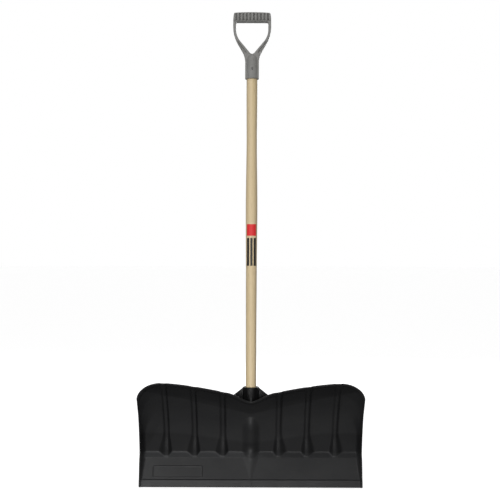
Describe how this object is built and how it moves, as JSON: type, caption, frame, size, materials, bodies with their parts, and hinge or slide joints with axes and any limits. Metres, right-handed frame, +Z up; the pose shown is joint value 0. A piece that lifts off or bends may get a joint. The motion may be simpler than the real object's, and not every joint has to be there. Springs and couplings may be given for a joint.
{
  "type": "snow shovel",
  "caption": "Wide curled plastic snow shovel blade with ribbed face, straight wood handle and open D-shaped hand grip, for scooping and pushing snow.",
  "frame": {"origin": "bottom centre of the whole shovel's box, on the ground line that the blade edge touches", "axes": "+Z up along the wood handle, -Y to the front (scooping side), +X across the blade to the viewer's right"},
  "size_m": [0.616, 0.1552, 1.307],
  "materials": {
    "blade_poly": "moulded black polyethylene, satin gloss",
    "handle_wood": "turned ash, clear lacquer, long grain",
    "grip_plastic": "moulded mid-grey plastic, fine texture",
    "screw_steel": "dark zinc-phosphate steel"
  },
  "bodies": {
    "root": {"blade": "blade_poly", "handle": "handle_wood", "d_grip": "grip_plastic", "grip_screw": "screw_steel", "socket_screw": "screw_steel"}
  },
  "joints": []
}
